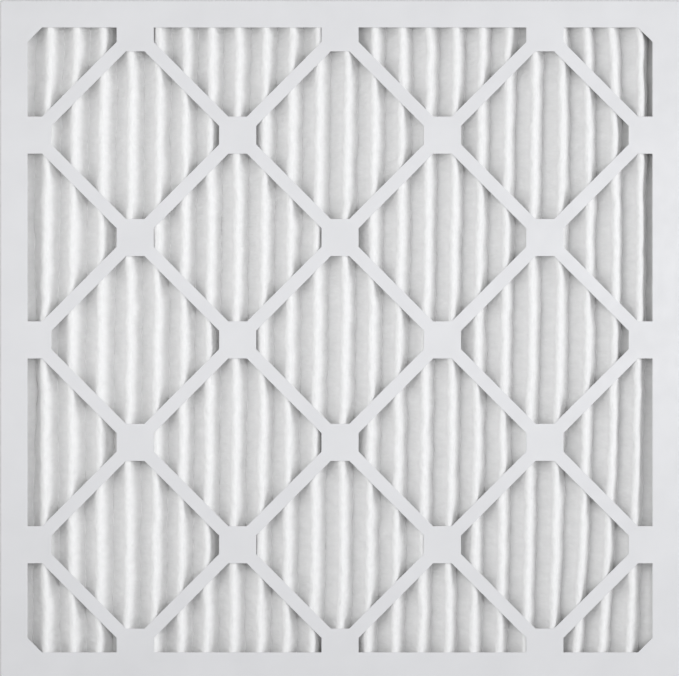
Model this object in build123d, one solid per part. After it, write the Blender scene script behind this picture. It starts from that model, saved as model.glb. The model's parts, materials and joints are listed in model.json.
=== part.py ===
from build123d import *
import math
import os

# Pleated panel air filter, nominal 20 x 20 x 1 in, all sizes in millimetres.
# It lies on its rear face: X runs across the pleats, Y runs along them, and +Z points out
# of the front face. The origin is the centre of the rear face.

# ---------------------------------------------------------------- driving dimensions
# Outside of the closed filter.
width = 495.3
height = 495.3
depth = 19.05

# Beverage board of the two folded trays.
board = 0.71
fold_radius = 0.4  # inside radius of a scored fold
film = 0.05  # glue film between two glued faces
corner_relief = 0.4  # how far a plain flap stops short of the tray's corner
tab_length = 38.0  # glue tab at a corner, measured along the wall
tab_inset = 1.2  # how far a tab stays inside the long edges of its wall
tab_taper = 5.0  # bevel on the free end of a tab

# Die-cut lattice of both faces.
border = 20.0  # border round the window
half_cell = 74.6  # from the centre of a diamond to the next crossing of straps
strap = 9.5  # width of a strap, square to its run
crossing = 27.0  # side of the square pad where two straps cross
gusset = 10.5  # bevel in the corners of the window

# Pleated nonwoven media.
pleats = 25
media_thickness = 1.6
tip_radius = 2.4  # outer radius of a fold of the media
end_bead = 1.0  # hot melt between the cut ends of the pleats and the wall
side_bead = 1.0  # hot melt between the outermost leg and the wall
side_bead_height = 11.0

# Welded wire grid on the rear surface of the media.
wire = 0.8
wire_gap = 0.15
wire_pitch = 50.8  # from one bent wire to the next
pleats_per_wire = 2  # pleats from one straight wire to the next

# ---------------------------------------------------------------- sizes that follow
fold_outer = fold_radius + board

# The rear tray nests in the front tray. The front tray's tabs lie behind its side walls.
rear_width = width - 2 * (2 * board + 2 * film)
rear_height = height - 2 * (board + film)
rear_tall = depth - fold_outer - film

# Room for the pleat pack inside the rear tray, whose tabs lie behind its end walls.
side_wall_x = rear_width / 2 - board
end_wall_y = rear_height / 2 - board
tab_face_y = end_wall_y - film - board
pack_width = 2 * (side_wall_x - side_bead)
pack_length = 2 * (tab_face_y - end_bead)
bead_bottom = fold_outer + film
bead_top = rear_tall

# The pleats stand between the wire grid on the rear panel and the front panel.
pitch = pack_width / pleats
inner_radius = tip_radius - media_thickness
media_front = depth - board - film
media_rear = board + film + wire + wire_gap
tip_centre_z = media_front - tip_radius
valley_centre_z = media_rear + tip_radius

# The flanks are the common tangents of the circles at the tips and in the valleys.
centre_drop = tip_centre_z - valley_centre_z
centre_distance = math.hypot(pitch / 2, centre_drop)
flank_angle = math.atan2(pitch / 2, centre_drop) - math.asin((tip_radius + inner_radius) / centre_distance)


# ---------------------------------------------------------------- folded board
def fold_profile(drop):
    """Section of a scored fold at the corner x = 0, z = 0 and of the sheet that hangs down from it.

    The fold starts at x = -fold_outer, where the flat sheet ends.
    """
    centre = (-fold_outer, -fold_outer)
    outer = CenterArc(centre, fold_outer, 0, 90)
    inner = CenterArc(centre, fold_radius, 0, 90)
    fold = make_face([outer, inner, Line(outer @ 0, inner @ 0), Line(outer @ 1, inner @ 1)])
    wall_length = drop - fold_outer
    wall = Pos(-board / 2, -fold_outer - wall_length / 2) * Rectangle(board, wall_length)
    return fold + wall


def side_flap(flap_length, tall):
    """A flap on the +X side of a tray: its fold, and its wall over the height of the tray."""
    section = Plane.XZ * fold_profile(tall)
    return extrude(section, amount=flap_length / 2, both=True)


def glue_tab(wall_end, tall):
    """The tab that the +Y wall of a tray folds behind its +X wall, with its tapered free end."""
    room = tall - fold_outer - 2 * tab_inset
    tab = Pos(wall_end, 0, tab_inset) * extrude(fold_profile(tab_length), amount=room)
    outline = Polygon(
        (0, tab_inset), (0, tab_inset + room),
        (-tab_length + tab_taper, tab_inset + room), (-tab_length, tab_inset + room - tab_taper),
        (-tab_length, tab_inset + tab_taper), (-tab_length + tab_taper, tab_inset),
        align=None,
    )
    return tab & extrude(Plane.YZ * outline, amount=wall_end)


def folded_tray(tray_width, tray_height, tall):
    """One die-cut blank folded to a tray: the panel at z = tall, the walls down to z = 0.

    The two walls on the Y sides carry glue tabs at both ends, behind the walls on the X sides.
    """
    panel = Rectangle(tray_width - 2 * fold_outer, tray_height - 2 * fold_outer)
    tray = Pos(0, 0, tall - board) * extrude(panel, amount=board)

    plain = Pos(tray_width / 2, 0, tall) * side_flap(tray_height - 2 * corner_relief, tall)
    tray += [plain, plain.mirror(Plane.YZ)]

    wall_end = tray_width / 2 - board - film
    tabbed_length = 2 * (wall_end - fold_outer)
    tabbed = Pos(0, tray_height / 2, tall) * Rot(0, 0, 90) * side_flap(tabbed_length, tall)
    tab = Pos(0, tray_height / 2, 0) * glue_tab(wall_end, tall)
    tabbed += [tab, tab.mirror(Plane.YZ)]
    tray += [tabbed, tabbed.mirror(Plane.XZ)]
    return tray


# ---------------------------------------------------------------- die-cut lattice
def lattice_windows():
    """The truncated diamonds of the lattice, clipped by the bevelled window of the panel."""
    reach = half_cell - crossing / 2
    slant = half_cell - strap / math.sqrt(2)
    square = Rectangle(2 * reach, 2 * reach)
    diamond = chamfer(square.vertices(), 2 * reach - slant)

    window_x = width / 2 - border
    window_y = height / 2 - border
    window = Rectangle(2 * window_x, 2 * window_y)
    window = chamfer(window.vertices(), gusset)

    columns = int((window_x + reach - strap) / half_cell)
    rows = int((window_y + reach - strap) / half_cell)
    diamonds = [
        Pos(column * half_cell, row * half_cell) * diamond
        for column in range(-columns, columns + 1)
        for row in range(-rows, rows + 1)
        if (column + row) % 2 == 0
    ]
    return Sketch() + [shape & window for shape in diamonds]


def front_frame(windows):
    """The outer tray: lattice panel in front, walls over the full depth."""
    tray = folded_tray(width, height, depth)
    return tray - Pos(0, 0, depth - board) * extrude(windows, amount=board)


def rear_frame(windows):
    """The inner tray, turned to face backwards, its walls between the front tray's walls."""
    tray = folded_tray(rear_height, rear_width, rear_tall)
    tray = Pos(0, 0, rear_tall) * Rot(180, 0, 0) * Rot(0, 0, 90) * tray
    return tray - extrude(windows, amount=board)


# ---------------------------------------------------------------- pleat pack
def surface_line(tip_fold, valley_fold):
    """One surface of the media, two pleats longer than the pack, as a line in X and Z.

    The two radii are those of this surface over a tip and in a valley.
    """
    tip_z = tip_centre_z + tip_fold / math.sin(flank_angle)
    valley_z = valley_centre_z - valley_fold / math.sin(flank_angle)
    half_pleats = pleats + 2
    corners = []
    for step in range(-half_pleats, half_pleats + 1):
        at_tip = (step + pleats) % 2 == 1
        corners.append((step * pitch / 2, tip_z if at_tip else valley_z))
    radii = [tip_fold if (step + pleats) % 2 == 1 else valley_fold
             for step in range(-half_pleats + 1, half_pleats)]
    return FilletPolyline(*corners, radius=radii)


def pleated_media():
    """The nonwoven sheet, folded back and forth between the two panels."""
    front = surface_line(tip_radius, inner_radius)
    rear = surface_line(inner_radius, tip_radius)
    ends = [Line(front @ end, rear @ end) for end in (0, 1)]
    section = make_face(front.edges() + rear.edges() + ends)
    section = section & Pos(0, depth / 2) * Rectangle(pack_width, depth)
    return extrude(Plane.XZ * section, amount=pack_length / 2, both=True)


def bend_points(x, centre_z, side, radius):
    """Corners of a bend with a flat nose, or its one sharp corner where no radius is left."""
    if radius <= 0:
        return [(x, centre_z + side * radius / math.sin(flank_angle))]
    nose = radius * math.tan((math.pi / 2 - flank_angle) / 2)
    return [(x - nose, centre_z + side * radius), (x + nose, centre_z + side * radius)]


def wire_line(offset):
    """The line at the given distance behind the rear surface of the media, over every pleat."""
    points = []
    for step in range(-pleats - 2, pleats + 3):
        x = step * pitch / 2
        if (step + pleats) % 2 == 1:
            points += bend_points(x, tip_centre_z, 1, inner_radius - offset)
        else:
            points += bend_points(x, valley_centre_z, -1, tip_radius + offset)
    return points


def bent_wire():
    """One wire across the pleats, bent with them, at y = 0."""
    outline = wire_line(wire_gap) + wire_line(wire_gap + wire)[::-1]
    section = Polygon(*outline, align=None) & Pos(0, depth / 2) * Rectangle(pack_width, depth)
    return extrude(Plane.XZ * section, amount=wire / 2, both=True)


def straight_wire():
    """One wire along the pleats, at the middle of the flank between x = 0 and half a pitch."""
    out = media_thickness / 2 + wire_gap + 1.5 * wire
    middle_x = pitch / 4 - out * math.cos(flank_angle)
    middle_z = (tip_centre_z + valley_centre_z) / 2 - out * math.sin(flank_angle)
    section = Rectangle(wire, wire, rotation=math.degrees(flank_angle))
    rod = extrude(Plane.XZ * section, amount=pack_length / 2, both=True)
    return Pos(middle_x, 0, middle_z) * rod


def wire_backing():
    """The welded grid: bent wires across the pleats, straight wires along their flanks."""
    bent = bent_wire()
    rows = int(pack_length / 2 / wire_pitch)
    across = [Pos(0, row * wire_pitch, 0) * bent for row in range(-rows, rows + 1)]
    rod = straight_wire()
    tips = [(pleat - (pleats - 1) / 2) * pitch for pleat in range(0, pleats, pleats_per_wire)]
    along = [Pos(x, 0, 0) * rod for x in tips]
    return Part() + across + along


# ---------------------------------------------------------------- hot-melt beads
def end_seal():
    """The bead that seals the cut pleat ends to the +Y wall, and fills in between its tabs."""
    bottom_y = pack_length / 2 + film
    tab_y = tab_face_y - film
    wall_y = end_wall_y - film
    full_x = side_wall_x - fold_radius - film
    between_x = side_wall_x - tab_length - film
    outline = Polygon(
        (-full_x, bottom_y), (full_x, bottom_y), (full_x, tab_y), (between_x, tab_y),
        (between_x, wall_y), (-between_x, wall_y), (-between_x, tab_y), (-full_x, tab_y),
        align=None,
    )
    return Pos(0, 0, bead_bottom) * extrude(outline, amount=bead_top - bead_bottom)


def side_seal():
    """The bead in the corner between the outermost leg and the +X wall."""
    wall_x = side_wall_x - film
    leg_x = pack_width / 2 + film
    outline = Polygon(
        (leg_x, bead_bottom), (wall_x, bead_bottom),
        (wall_x, bead_bottom + side_bead_height), (leg_x, valley_centre_z),
        align=None,
    )
    return extrude(Plane.XZ * outline, amount=pack_length / 2, both=True)


# ---------------------------------------------------------------- the assembly
def filter_pieces():
    """Every piece of the filter, by name."""
    windows = lattice_windows()
    top = end_seal()
    right = side_seal()
    return {
        "front_frame": front_frame(windows),
        "rear_frame": rear_frame(windows),
        "pleated_media": pleated_media(),
        "wire_backing": wire_backing(),
        "seal_top": top,
        "seal_bottom": top.mirror(Plane.XZ),
        "seal_right": right,
        "seal_left": right.mirror(Plane.YZ),
    }


os.makedirs("parts", exist_ok=True)
for name, piece in filter_pieces().items():
    export_step(piece, f"parts/{name}.step")
    print(f"{name}: {len(piece.solids())} solid, {piece.volume / 1000:.1f} cm3")
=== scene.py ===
# %% [markdown]
# # A pleated panel air filter
# This file gives a pleated air filter its looks. The filter is a flat square box, about half
# a metre wide and 19 mm deep. Two folded trays of white board hold a sheet of nonwoven that is
# folded back and forth into 25 pleats, with a grid of thin wires behind it.
# The trays and the beads of adhesive come from the CAD model, which the frame holds at its real
# size and place. The nonwoven is soft and its wires follow it, so both are made here.
# The cells below set up the camera and the light, fold the nonwoven from a flat sheet, bend the
# wires along it, and mix a finish for each material.

# %% Load the frame
import bpy
import bmesh
import json
import math
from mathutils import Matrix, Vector, noise
from mathutils.bvhtree import BVHTree


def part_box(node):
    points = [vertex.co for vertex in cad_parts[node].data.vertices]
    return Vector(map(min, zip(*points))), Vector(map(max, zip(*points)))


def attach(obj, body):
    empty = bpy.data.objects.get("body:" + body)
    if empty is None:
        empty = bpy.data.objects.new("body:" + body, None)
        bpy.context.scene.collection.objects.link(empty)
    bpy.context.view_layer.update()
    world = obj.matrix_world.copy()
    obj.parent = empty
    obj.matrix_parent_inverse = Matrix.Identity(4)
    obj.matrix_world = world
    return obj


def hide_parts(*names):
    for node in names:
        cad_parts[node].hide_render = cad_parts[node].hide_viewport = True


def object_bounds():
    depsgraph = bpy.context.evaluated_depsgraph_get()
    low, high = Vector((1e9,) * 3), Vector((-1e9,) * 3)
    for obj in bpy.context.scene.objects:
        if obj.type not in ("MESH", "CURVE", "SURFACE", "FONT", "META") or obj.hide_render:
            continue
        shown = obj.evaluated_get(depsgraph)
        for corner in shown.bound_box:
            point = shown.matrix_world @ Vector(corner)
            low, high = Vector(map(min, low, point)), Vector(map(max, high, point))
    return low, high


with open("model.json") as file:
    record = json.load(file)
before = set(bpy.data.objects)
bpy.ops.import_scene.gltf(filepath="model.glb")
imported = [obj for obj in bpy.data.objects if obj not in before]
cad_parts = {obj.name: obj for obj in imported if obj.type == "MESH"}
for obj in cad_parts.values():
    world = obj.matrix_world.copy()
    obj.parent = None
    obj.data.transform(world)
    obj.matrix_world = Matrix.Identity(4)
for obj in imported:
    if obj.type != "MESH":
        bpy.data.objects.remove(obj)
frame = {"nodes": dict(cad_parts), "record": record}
cad_low, cad_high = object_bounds()
print("CAD box, mm:", [round(1000 * v, 2) for v in (*cad_low, *cad_high)])

# %% [markdown]
# ## Sizes
# Everything here is in metres. The places come from the CAD nodes, so the folded sheet fills
# exactly the room between the walls, the grid and the front panel. They could be typed in again,
# but then a change to the model would leave the sheet behind. The sizes that a node's box doesn't
# tell, such as the thickness of the nonwoven, are named here.
#
# Every fold is an arc of a circle. `tip_z` and `valley_z` are the heights of the circles' centres,
# and `tip_bend` and `valley_bend` are their radii, measured at the middle of the sheet.

# %% Sizes of the filter
MM = 0.001
front_z = cad_high.z
media_low, media_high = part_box("pleated_media")
half_pack = media_high.x
half_length = media_high.y

pleats = 25
media_thickness = 1.6 * MM
tip_radius = 3.2 * MM
crease_radius = 0.4 * MM
board_thickness = 0.71 * MM
wire_thickness = 0.8 * MM
wire_spacing = 25.4 * MM

pitch = 2 * half_pack / pleats
tip_bend = tip_radius - media_thickness / 2
valley_bend = crease_radius + media_thickness / 2
tip_z = media_high.z - tip_radius
valley_z = media_low.z + valley_bend + media_thickness / 2
print(f"{pleats} pleats, {pitch / MM:.2f} mm apart, {(media_high.z - media_low.z) / MM:.1f} mm deep")

# %% [markdown]
# ## Camera
# The filter lies on its back and the camera hangs over it, looking straight down, so that the
# square face fills the image from edge to edge. An orthographic camera would frame it as well,
# but a real lens at nearly two metres leaves a little perspective: in the outer pleats one flank
# shows more than the other. The lens follows from the distance and the width to be seen.

# %% Camera
camera_distance = 1.83
view_width = 494.6 * MM
sensor_width = 36.0
aim_x = -0.4 * MM
aim_y = 1.4 * MM

camera_data = bpy.data.cameras.new("camera")
camera_data.sensor_width = sensor_width
camera_data.lens = sensor_width * camera_distance / view_width
camera_data.clip_start = 0.1
camera_data.clip_end = 20
camera = bpy.data.objects.new("camera", camera_data)
camera.location = (aim_x, aim_y, front_z + camera_distance)
bpy.context.scene.collection.objects.link(camera)
bpy.context.scene.camera = camera
print(f"lens {camera_data.lens:.1f} mm on a {sensor_width:.0f} mm sensor")

# %% [markdown]
# ## Light
# White things need gentle light, or they clip. Large soft sources at the sides skim over the
# pleats and brighten only their tips. Small ones would do so too, but they draw a hard edge down
# each tip. A broad lamp close over the left half reaches both flanks of a pleat there, but further
# right only the flanks that face it. It throws no highlight. A high lamp near the camera gives the
# coated board its faint gloss towards the right, and the world fills the rest.

# %% World and lamps
world_strength = 0.36
plain_white = (1.0, 1.0, 1.0)
daylight = (0.985, 0.993, 1.01)

scene = bpy.context.scene
scene.view_settings.view_transform = "Standard"

world = bpy.data.worlds.new("studio")
world.use_nodes = True
backdrop = world.node_tree.nodes["Background"]
backdrop.inputs["Color"].default_value = (*plain_white, 1.0)
backdrop.inputs["Strength"].default_value = world_strength
scene.world = world


def soft_lamp(name, place, size, power, colour=plain_white):
    """A square lamp at a place, turned to the middle of the filter."""
    lamp_data = bpy.data.lights.new(name, "AREA")
    lamp_data.shape = "SQUARE"
    lamp_data.size = size
    lamp_data.energy = power
    lamp_data.color = colour
    lamp = bpy.data.objects.new(name, lamp_data)
    lamp.location = place
    lamp.rotation_euler = (-Vector(place)).to_track_quat("-Z", "Y").to_euler()
    lamp.visible_camera = False
    scene.collection.objects.link(lamp)
    print(f"{name}: {size} m wide, {power} W, {Vector(place).length:.2f} m away")
    return lamp


near_lamp = soft_lamp("near_lamp", place=(-0.25, 0.08, 0.7), size=0.5, power=1.4)
near_lamp.visible_glossy = False
soft_lamp("high_lamp", place=(0.55, 0.08, 2.0), size=0.4, power=9.0, colour=daylight)
soft_lamp("right_lamp", place=(1.6, 0.2, 0.9), size=1.2, power=13.5, colour=daylight)
soft_lamp("left_lamp", place=(-1.1, 0.1, 0.35), size=0.6, power=1.1)

# %% [markdown]
# ## Floor
# The filter lies on a plain pale floor, which catches its shadow when it is seen from the side.
# One flat face is enough for that. It lies a hair lower than the back of the filter, so that the
# two don't touch.

# %% Floor
floor_drop = 0.2 * MM
floor_reach = 3.0
floor_colour = (0.8, 0.8, 0.8)
floor_roughness = 0.9

bm = bmesh.new()
bmesh.ops.create_grid(bm, x_segments=1, y_segments=1, size=floor_reach)
bmesh.ops.translate(bm, verts=bm.verts, vec=(0, 0, -floor_drop))
floor_mesh = bpy.data.meshes.new("floor")
bm.to_mesh(floor_mesh)
bm.free()
floor = bpy.data.objects.new("floor", floor_mesh)
scene.collection.objects.link(floor)

floor_material = bpy.data.materials.new("pale_floor")
floor_material.use_nodes = True
floor_shader = floor_material.node_tree.nodes["Principled BSDF"]
floor_shader.inputs["Base Color"].default_value = (*floor_colour, 1.0)
floor_shader.inputs["Roughness"].default_value = floor_roughness
floor_mesh.materials.append(floor_material)
print(f"floor {2 * floor_reach:.0f} m wide, {floor_drop / MM} mm below the filter")

# %% [markdown]
# ## Where each pleat runs
# A machine folds the sheet evenly, but the pack is pushed into its tray by hand. So no pleat is
# quite in its even place. Noise alone would make them look like a curtain, so `uneven` is chosen
# pleat by pleat, in millimetres. The rest is a formula and smooth noise, which gives the same
# values on each run:
# - A lean is how far a tip line moves to the right on the upper half of its way.
# - A bow is how far both ends of a line near a side bend away from its middle.
# - The pleats are combed over a little: a comb is how far a valley stays to the left.
# - Every line wavers by up to half a millimetre, and the first valley gapes in its middle.

# %% The lines of the tips and valleys
uneven = [
    0.0, -0.6, -0.9, 0.5, 2.1, 2.7, 2.4, 1.6, 1.6, 1.8, 1.4, 1.6, 2.5,
    2.8, 3.0, 3.1, 2.9, 2.1, 1.9, 1.6, 2.5, 3.8, 4.0, 2.0, 0.5,
]
left_lean, right_lean = 1.3 * MM, 4.6 * MM
left_comb, right_comb = 0.7 * MM, 1.9 * MM
left_bow, left_bow_pleat, left_bow_spread = 3.7 * MM, 1.6, 1.5
right_bow, right_bow_pleat, right_bow_spread = 6.6 * MM, 21.8, 1.4
end_freedom = 0.5
waver = 0.9 * MM
waver_length = 14 * MM
tip_noise_step = 7.3
valley_noise_step, valley_noise_start = 5.9, 200
first_gap = 3.2 * MM
gap_centre, gap_spread = -0.1, 0.35
noise_plane = (0.37, 0.71)


def smooth_noise(*place):
    """Smooth noise about from -0.5 to 0.5 at a place given by up to three numbers."""
    return noise.noise(Vector((*place, *noise_plane)[:3]))


def hump(value, centre, spread):
    """A smooth hump, 1 at its centre."""
    return math.exp(-(((value - centre) / spread) ** 2))


def side_bow(pleat):
    """How far a pleat's ends lie to the right of its middle, beyond its lean."""
    to_right = left_bow * hump(pleat, left_bow_pleat, left_bow_spread)
    to_left = right_bow * hump(pleat, right_bow_pleat, right_bow_spread)
    return to_right - to_left


def tip_x(pleat, y):
    """Where the tip of a pleat runs at a height y. The walls hold the first and last one back."""
    share = y / half_length
    even = (pleat - (pleats - 1) / 2) * pitch
    lean = left_lean + (right_lean - left_lean) * pleat / (pleats - 1)
    freedom = end_freedom if pleat in (0, pleats - 1) else 1.0
    drift = lean * share + side_bow(pleat) * share * share
    wave = waver * smooth_noise(pleat * tip_noise_step, y / waver_length)
    return even + uneven[pleat] * MM + freedom * drift + wave


def valley_x(valley, y):
    """Where the valley left of a tip runs at a height y. The first and last touch the walls."""
    if valley == 0:
        return -half_pack
    if valley == pleats:
        return half_pack
    comb = left_comb + (right_comb - left_comb) * valley / pleats
    wave = waver * smooth_noise(valley * valley_noise_step + valley_noise_start, y / waver_length)
    gape = first_gap * hump(y / half_length, gap_centre, gap_spread) if valley == 1 else 0.0
    return (tip_x(valley - 1, y) + tip_x(valley, y)) / 2 - comb + wave + gape


for number in (0, pleats // 2, pleats - 1):
    bottom, top = tip_x(number, -half_length), tip_x(number, half_length)
    print(f"tip {number} runs from x = {bottom / MM:.1f} to {top / MM:.1f} mm")

# %% [markdown]
# ## Folding
# Seen from the end, the sheet is a chain of round folds and straight legs. Each leg is the line
# that touches two circles: the one under a tip and the one over a valley. `leg_point` walks along
# one leg, from the middle of one fold to the middle of the next, and can keep any distance behind
# the middle of the sheet. That distance is zero for the sheet itself. The wires use it too, so
# they follow the same folds. Bending a flat grid with modifiers could give even pleats, but not
# legs that each have a slope of their own. Half a fold takes `arc_share` of a leg's way at each
# end, and on the straight part between them `loft` lets the felt swell in soft patches.

# %% A point on the folded sheet
arc_share = 0.32
loft_height = 0.5 * MM
loft_length = 13 * MM
loft_leg_step = 3.1
loft_patches = 1.4


def loft(leg, part, y):
    """How far the nonwoven swells out of a leg, as its fibres are looser in some places."""
    ease = math.sin(math.pi * part)
    return loft_height * ease * smooth_noise(leg * loft_leg_step, part * loft_patches, y / loft_length)


def leg_point(leg, share, y, behind=0.0):
    """A point of leg number `leg` at a share of its way, at a height y."""
    rising = leg % 2 == 0
    pleat = leg // 2
    tip_at = tip_x(pleat, y)
    valley_at = valley_x(pleat if rising else pleat + 1, y)
    if not rising:
        share = 1 - share
    side = 1 if rising else -1
    across = side * (tip_at - valley_at)
    up = tip_z - valley_z
    bends = tip_bend + valley_bend
    slope = math.atan2(across, up) - math.asin(bends / math.hypot(across, up))
    turn = math.pi / 2 - slope
    valley_fold = valley_bend + behind
    tip_fold = tip_bend - behind

    def on_valley(angle):
        return valley_fold * math.sin(angle), valley_z - valley_fold * math.cos(angle)

    def on_tip(angle):
        return across - tip_fold * math.sin(angle), tip_z + tip_fold * math.cos(angle)

    if share < arc_share:
        x, z = on_valley(turn * share / arc_share)
    elif share > 1 - arc_share:
        x, z = on_tip(turn * (1 - share) / arc_share)
    else:
        part = (share - arc_share) / (1 - 2 * arc_share)
        start, end = on_valley(turn), on_tip(turn)
        x = start[0] + part * (end[0] - start[0])
        z = start[1] + part * (end[1] - start[1])
        puff = loft(leg, part, y)
        x -= puff * math.cos(slope)
        z += puff * math.sin(slope)
    return valley_at + side * x, y, z


foot, crest = leg_point(0, 0.0, 0.0), leg_point(0, 1.0, 0.0)
across, _, up = [(end - start) / MM for start, end in zip(foot, crest)]
print(f"the first leg goes {across:.1f} mm across and {up:.1f} mm up")

# %% [markdown]
# ## Under the straps
# The front panel presses on the tips wherever it crosses them. Between the straps the felt is free
# to swell a little. A cloth simulation could find this, but a rule does as well: the further a
# point of the sheet is from the nearest strap, the higher its ceiling. A BVH tree of the tray
# gives that distance. Only the upper half of a leg moves, so the valleys stay on their grid.

# %% Press the tips under the board
swell = 0.3 * MM
swell_reach = 5 * MM
held_share = 0.5
board_middle = (front_z + media_high.z) / 2
board_tree = BVHTree.FromObject(frame["nodes"]["front_frame"], bpy.context.evaluated_depsgraph_get())


def pressed(place):
    """A point of the sheet after the board has held the tips down and let them swell between."""
    x, y, z = place
    height = (z - valley_z) / (tip_z - valley_z)
    if height < held_share:
        return place
    away = board_tree.find_nearest(Vector((x, y, board_middle)))[3]
    rise = min(1.0, max(0.0, away - board_thickness) / swell_reach)
    ceiling = media_high.z - media_thickness / 2 + swell * rise * (2 - rise) - swell / 2
    lift = min(1.0, (height - held_share) / (1 - held_share))
    return x, y, min(z + swell / 2 * lift, ceiling)


print(f"the tips swell by {swell / MM} mm, {swell_reach / MM:.0f} mm away from a strap")

# %% [markdown]
# ## The pleated sheet
# The nonwoven starts as it comes off its roll: one flat grid, as wide as all its legs in a row.
# Moving each vertex to its place folds it, which keeps the sheet in one piece and leaves a UV map
# that still lies flat, so that the fibres follow the folds. Solidify then gives the sheet its
# loft. A simulation would only slow this down, because the folds are set by the machine.
# `leg_columns` gives the columns of one leg, as shares of its way. They stand closest near the
# tip, whose bend shows most.

# %% Fold the sheet
legs = 2 * pleats
rows = 120
leg_columns = [0, 0.16, 0.32, 0.44, 0.56, 0.68, 0.787, 0.893]
columns_per_leg = len(leg_columns)

bm = bmesh.new()
bm.loops.layers.uv.new("flat_sheet")
bmesh.ops.create_grid(
    bm, x_segments=legs * columns_per_leg, y_segments=rows, size=1.0, calc_uvs=True
)
for vert in bm.verts:
    column = round((vert.co.x + 1) / 2 * legs * columns_per_leg)
    leg = min(column // columns_per_leg, legs - 1)
    step = column - leg * columns_per_leg
    share = leg_columns[step] if step < columns_per_leg else 1.0
    if leg % 2 and 0 < share < 1:
        share = 1 - leg_columns[columns_per_leg - step]
    vert.co = pressed(leg_point(leg, share, vert.co.y * half_length))

middle_row = [leg_point(leg, share, 0.0) for leg in range(legs) for share in leg_columns]
flat_width = sum(math.dist(a, b) for a, b in zip(middle_row, middle_row[1:]))
flat_length = 2 * half_length
print(f"flat sheet {flat_width:.3f} x {flat_length:.3f} m, {len(bm.faces)} faces")

# %% [markdown]
# ## From mesh to piece
# The folded mesh becomes an object and gets its thickness. It stands in for the CAD's pleated
# solid, which is hidden, later takes the same finish, and rests on both trays. Its flat size is
# printed above. It sits at the origin, with its place in its mesh.

# %% Hand over the sheet
for face in bm.faces:
    face.smooth = True
sheet_mesh = bpy.data.meshes.new("pleated_nonwoven")
bm.to_mesh(sheet_mesh)
bm.free()
sheet = bpy.data.objects.new("pleated_nonwoven", sheet_mesh)
scene.collection.objects.link(sheet)
thicken = sheet.modifiers.new("loft", "SOLIDIFY")
thicken.thickness = media_thickness
thicken.offset = 0.0
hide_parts("pleated_media")
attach(sheet, "root")
print(f"{sheet.name}: {media_thickness / MM} mm thick, {len(sheet_mesh.vertices)} points on each side")

# %% [markdown]
# ## The wire grid
# A grid of thin wires, welded at every crossing, is glued to the back of the nonwoven before it is
# folded. A wire is a line with a round section. It could be swept with bmesh, but a spline in a
# curve with a bevel does that in one step and keeps the section round at each bend. The bent wires
# run across the pleats. The straight ones run along them, each on the flat part of a leg, and sink
# a little into the bent ones, as welded wires do.

# %% Bend the wires
wire_radius = wire_thickness / 2
glue_gap = 0.1 * MM
weld_offset = 1.6
bent_behind = media_thickness / 2 + glue_gap + wire_radius
straight_behind = bent_behind + weld_offset * wire_radius
bent_shares = [0, 0.16, 0.32, 0.68, 0.84]
straight_points = 40
flat_part = (0.42, 0.58)
end_margin = 5 * MM

grid_curve = bpy.data.curves.new("wire_grid", "CURVE")
grid_curve.dimensions = "3D"
grid_curve.bevel_depth = wire_radius
grid_curve.bevel_resolution = 1
grid_curve.use_fill_caps = True


def add_wire(points):
    """One more wire of the grid through these points."""
    line = grid_curve.splines.new("POLY")
    line.points.add(len(points) - 1)
    for knot, place in zip(line.points, points):
        knot.co = (*place, 1.0)


bent_count = 2 * int((half_length - end_margin) / wire_spacing) + 1
for number in range(bent_count):
    y = (number - (bent_count - 1) / 2) * wire_spacing
    add_wire([leg_point(leg, share, y, bent_behind) for leg in range(legs) for share in bent_shares])

leg_length = flat_width / legs
straight_count = int(flat_width / wire_spacing)
heights = [half_length * (2 * step / straight_points - 1) for step in range(straight_points + 1)]
for number in range(straight_count):
    along = (number + 0.5) * flat_width / straight_count / leg_length
    leg = int(along)
    share = min(max(along - leg, flat_part[0]), flat_part[1])
    add_wire([leg_point(leg, share, y, straight_behind) for y in heights])
print(f"{bent_count} bent and {straight_count} straight wires")

# %% [markdown]
# ## The grid as a mesh
# The curve is made a mesh, so that its place is in its points like every other piece's. It stands
# in for the coarser grid of the CAD model, which is hidden.

# %% Hand over the wire grid
grid_object = bpy.data.objects.new("wire_grid_line", grid_curve)
grid_mesh = bpy.data.meshes.new_from_object(grid_object)
bpy.data.objects.remove(grid_object)
grid = bpy.data.objects.new("wire_grid", grid_mesh)
scene.collection.objects.link(grid)
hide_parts("wire_backing")
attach(grid, "root")
print(f"{grid.name}: {len(grid_mesh.polygons)} faces")

# %% [markdown]
# ## Helpers for the finishes
# A material is a small net of nodes. It could be drawn by hand in the editor, but written out it
# stays the same on each run. These helpers add the nodes that every finish needs: noise at a real
# size, a mix of two colours, and a bump of a real height. Blender's noise rarely leaves the middle
# of its range, so `blotches` stretches that middle to the whole range that a finish asks for.

# %% Node helpers
noise_low, noise_high = 0.3, 0.7


def new_finish(name):
    """An empty material with a Principled shader, and its node tree."""
    finish = bpy.data.materials.new(name)
    finish.use_nodes = True
    return finish, finish.node_tree, finish.node_tree.nodes["Principled BSDF"]


def add_node(tree, kind, **settings):
    """A node of a kind, with its settings and its input values."""
    node = tree.nodes.new(kind)
    for key, value in settings.items():
        if key in node.inputs:
            node.inputs[key].default_value = value
        else:
            setattr(node, key, value)
    return node


def noise_at(tree, place, size, detail, roughness=0.5):
    """Noise whose blotches are about `size` metres across."""
    node = add_node(tree, "ShaderNodeTexNoise", Scale=1.0 / size, Detail=detail, Roughness=roughness)
    tree.links.new(place, node.inputs["Vector"])
    return node.outputs["Fac"]


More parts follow.
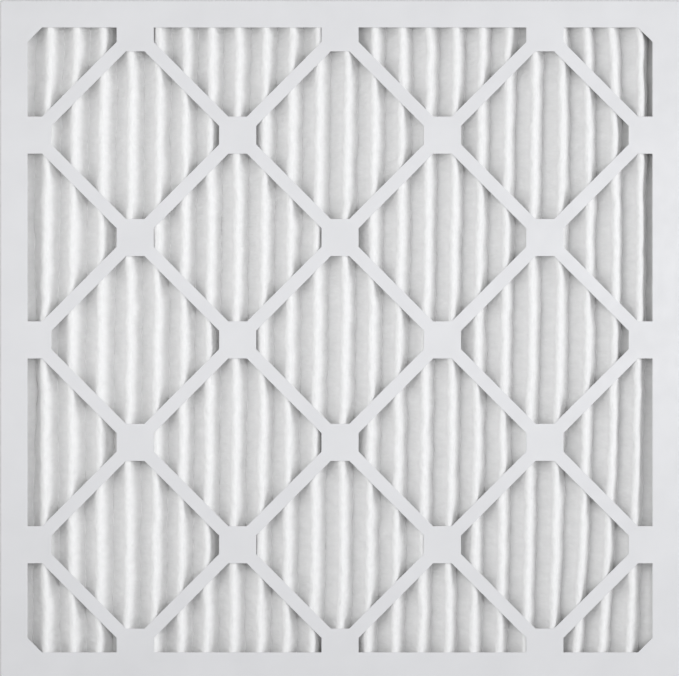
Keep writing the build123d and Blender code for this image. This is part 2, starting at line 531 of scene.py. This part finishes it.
def spread(tree, value, low, high, to_low=0.0, to_high=1.0):
    """The value stretched from one range to another."""
    node = add_node(tree, "ShaderNodeMapRange")
    ends = {"From Min": low, "From Max": high, "To Min": to_low, "To Max": to_high}
    for key, number in ends.items():
        node.inputs[key].default_value = number
    tree.links.new(value, node.inputs["Value"])
    return node.outputs["Result"]


def blotches(tree, place, size, detail, roughness=0.5, low=0.0, high=1.0):
    """Noise of a size that makes use of the whole range from low to high."""
    blotchy = noise_at(tree, place, size, detail, roughness)
    return spread(tree, blotchy, noise_low, noise_high, low, high)


def mix(tree, factor, first, second):
    """A colour between two, chosen by a factor. The node's colours are its inputs 6 and 7."""
    node = add_node(tree, "ShaderNodeMix", data_type="RGBA")
    tree.links.new(factor, node.inputs[0])
    for socket, colour in ((node.inputs[6], first), (node.inputs[7], second)):
        if isinstance(colour, tuple):
            socket.default_value = (*colour, 1.0)
        else:
            tree.links.new(colour, socket)
    return node.outputs[2]


def bump(tree, height, distance, below=None):
    """A bump of a height in metres, on top of another one if there is one below."""
    node = add_node(tree, "ShaderNodeBump", Strength=1.0, Distance=distance)
    tree.links.new(height, node.inputs["Height"])
    if below is not None:
        tree.links.new(below, node.inputs["Normal"])
    return node.outputs["Normal"]


def object_place(tree):
    """The place of a point on the filter, in metres."""
    return add_node(tree, "ShaderNodeTexCoord").outputs["Object"]


# %% [markdown]
# ## The board
# White-lined board is grey recycled pulp with a cool white clay coat on the outside. The coat is
# smooth, with a faint gloss, and a little mottled where it is thinner. The inside stays bare and
# grey, which keeps the hollows behind the face dark. The faces could be sorted into two materials,
# but the CAD mesh stays as it is, so one material tells its two sides apart. A point of a lid is
# inside when its face looks to the middle of the filter's depth. A point of a side wall is inside
# when its face looks to the middle of the filter's width.


# %% Which side of the board a point is on
lid_facing_limit = -0.5
wall_facing_limit = -0.1


def math_node(tree, operation, first, second):
    """The result of one sum on two values, each a socket or a number."""
    node = add_node(tree, "ShaderNodeMath", operation=operation)
    for socket, value in zip(node.inputs, (first, second)):
        if isinstance(value, (int, float)):
            socket.default_value = value
        else:
            tree.links.new(value, socket)
    return node.outputs["Value"]


def inside_of_tray(tree, place):
    """1 on the bare inner side of a folded tray, 0 on the coated outer side."""
    middle_z = front_z / 2
    lid_reach = middle_z - 2 * board_thickness
    spot = add_node(tree, "ShaderNodeSeparateXYZ")
    tree.links.new(place, spot.inputs[0])
    facing = add_node(tree, "ShaderNodeSeparateXYZ")
    tree.links.new(add_node(tree, "ShaderNodeNewGeometry").outputs["True Normal"], facing.inputs[0])
    above = math_node(tree, "SUBTRACT", spot.outputs["Z"], middle_z)
    along_z = math_node(tree, "MULTIPLY", facing.outputs["Z"], math_node(tree, "SIGN", above, 0.0))
    lid_back = math_node(tree, "LESS_THAN", along_z, lid_facing_limit)
    across_x = math_node(tree, "MULTIPLY", facing.outputs["X"], spot.outputs["X"])
    across_y = math_node(tree, "MULTIPLY", facing.outputs["Y"], spot.outputs["Y"])
    outward = math_node(tree, "ADD", across_x, across_y)
    inward = math_node(tree, "LESS_THAN", outward, wall_facing_limit)
    on_wall = math_node(tree, "LESS_THAN", math_node(tree, "ABSOLUTE", above, 0.0), lid_reach)
    wall_back = math_node(tree, "MULTIPLY", inward, on_wall)
    return math_node(tree, "MAXIMUM", lid_back, wall_back)


# %% Board finish
coat_thin, coat_full = (0.738, 0.741, 0.758), (0.768, 0.771, 0.788)
pulp_dark, pulp_light = (0.33, 0.325, 0.315), (0.43, 0.425, 0.41)
coat_smooth, coat_rough = 0.38, 0.45
pulp_roughness = 0.9
coat_ior = 1.6
mottle_size, pulp_size, gloss_size = 30 * MM, 1.5 * MM, 8 * MM
fibre_size, fibre_height = 0.9 * MM, 0.02 * MM
wave_size, wave_height = 20 * MM, 0.1 * MM

board, tree, shader = new_finish("coated_board")
place = object_place(tree)
coat_colour = mix(tree, blotches(tree, place, mottle_size, detail=3.0), coat_thin, coat_full)
pulp = blotches(tree, place, pulp_size, detail=4.0, roughness=0.7)
pulp_colour = mix(tree, pulp, pulp_dark, pulp_light)
bare = inside_of_tray(tree, place)
tree.links.new(mix(tree, bare, coat_colour, pulp_colour), shader.inputs["Base Color"])
gloss = blotches(tree, place, gloss_size, detail=2.0, low=coat_smooth, high=coat_rough)
bare_roughness = math_node(tree, "MULTIPLY", bare, pulp_roughness)
tree.links.new(math_node(tree, "MAXIMUM", gloss, bare_roughness), shader.inputs["Roughness"])
fibres = bump(tree, noise_at(tree, place, fibre_size, detail=3.0), fibre_height)
waves = bump(tree, noise_at(tree, place, wave_size, detail=1.0), wave_height, below=fibres)
tree.links.new(waves, shader.inputs["Normal"])
shader.inputs["IOR"].default_value = coat_ior
print(f"{board.name}: {len(tree.nodes)} nodes")

# %% [markdown]
# ## The nonwoven
# Polyester fibres, blown and bonded into a thick white felt. It has no weave: only soft clouds
# where more or fewer fibres lie, and a fine fuzz. Real strands would cost millions of faces, so
# the fuzz is a bump. Light soaks into the felt and comes back from a fold at a tip, but in a
# valley some is lost through the back. That shade is painted: the valleys get a greyer colour
# than the tips, and the height of a point chooses between the two. The clouds and the fuzz follow
# the flat UV map, so they run over the folds as they would on the real sheet.

# %% Nonwoven finish
# Painted shade: the valley colours are greyer than the felt's own white at the tips.
shaded_valley_thin, shaded_valley_full = (0.77, 0.77, 0.77), (0.83, 0.83, 0.83)
tip_thin, tip_full = (0.88, 0.88, 0.88), (0.94, 0.94, 0.94)
felt_roughness, felt_sheen = 0.95, 0.15
cloud_size = 6 * MM
fuzz_size, fuzz_height = 0.8 * MM, 0.15 * MM
lump_size, lump_height = 5 * MM, 0.9 * MM

nonwoven, tree, shader = new_finish("white_nonwoven")
stretch = add_node(tree, "ShaderNodeMapping")
stretch.inputs["Scale"].default_value = (flat_width, flat_length, 1.0)
flat_place = add_node(tree, "ShaderNodeUVMap", uv_map="flat_sheet").outputs["UV"]
tree.links.new(flat_place, stretch.inputs["Vector"])
place = stretch.outputs["Vector"]
clouds = blotches(tree, place, cloud_size, detail=3.0, roughness=0.6)
height = add_node(tree, "ShaderNodeSeparateXYZ")
tree.links.new(object_place(tree), height.inputs[0])
# Painted shade: the lower a point lies, the more of the greyer valley colour it gets.
depth = spread(tree, height.outputs["Z"], valley_z, tip_z)
valley_painted_shade = mix(tree, clouds, shaded_valley_thin, shaded_valley_full)
tip_colour = mix(tree, clouds, tip_thin, tip_full)
tree.links.new(mix(tree, depth, valley_painted_shade, tip_colour), shader.inputs["Base Color"])
shader.inputs["Roughness"].default_value = felt_roughness
shader.inputs["Sheen Weight"].default_value = felt_sheen
fuzz = bump(tree, noise_at(tree, place, fuzz_size, detail=4.0, roughness=0.65), fuzz_height)
lumps = bump(tree, noise_at(tree, place, lump_size, detail=2.0), lump_height, below=fuzz)
tree.links.new(lumps, shader.inputs["Normal"])
print(f"{nonwoven.name}: {len(tree.nodes)} nodes")

# %% [markdown]
# ## The wire
# Drawn steel with a dull zinc coat. A plain grey metal would look like plastic at this size, so
# the zinc's small crystals change both its colour and its roughness.

# %% Wire finish
zinc_dark, zinc_light = (0.42, 0.43, 0.45), (0.58, 0.59, 0.6)
zinc_smooth, zinc_rough = 0.35, 0.55
spangle_size = 4 * MM

zinc, tree, shader = new_finish("galvanised_wire")
spangle = blotches(tree, object_place(tree), spangle_size, detail=2.0)
tree.links.new(mix(tree, spangle, zinc_dark, zinc_light), shader.inputs["Base Color"])
shader.inputs["Metallic"].default_value = 1.0
tree.links.new(spread(tree, spangle, 0.0, 1.0, zinc_smooth, zinc_rough), shader.inputs["Roughness"])
print(f"{zinc.name}: {len(tree.nodes)} nodes")

# %% [markdown]
# ## The adhesive
# Set hot melt is milky and slightly yellow, with a soft skin. It is poured along the walls, so
# its surface ripples. One noise gives both the ripples and the places where it is milkier, and a
# little subsurface light keeps it from looking like paint.

# %% Hot-melt finish
melt_yellow, melt_milky = (0.78, 0.74, 0.62), (0.86, 0.83, 0.74)
melt_roughness, melt_depth = 0.4, 0.2
ripple_size, ripple_height = 6 * MM, 0.4 * MM

hot_melt, tree, shader = new_finish("milky_hot_melt")
ripple = noise_at(tree, object_place(tree), ripple_size, detail=2.0)
tree.links.new(mix(tree, ripple, melt_yellow, melt_milky), shader.inputs["Base Color"])
shader.inputs["Roughness"].default_value = melt_roughness
shader.inputs["Subsurface Weight"].default_value = melt_depth
tree.links.new(bump(tree, ripple, ripple_height), shader.inputs["Normal"])
print(f"{hot_melt.name}: {len(tree.nodes)} nodes")

# %% [markdown]
# ## Putting the finishes on
# The record names a slot for each CAD node, so the same four finishes serve all of them. The two
# new pieces take theirs straight on their meshes.

# %% Put the finishes on
finishes = {"board": board, "media": nonwoven, "grid_wire": zinc, "hot_melt": hot_melt}
sheet_mesh.materials.append(nonwoven)
grid_mesh.materials.append(zinc)
for entry in frame["record"]["subparts"]:
    finish = finishes[entry["material_slot"]]
    for material_slot in frame["nodes"][entry["node"]].material_slots:
        material_slot.material = finish
    print(entry["node"], "wears", finish.name)
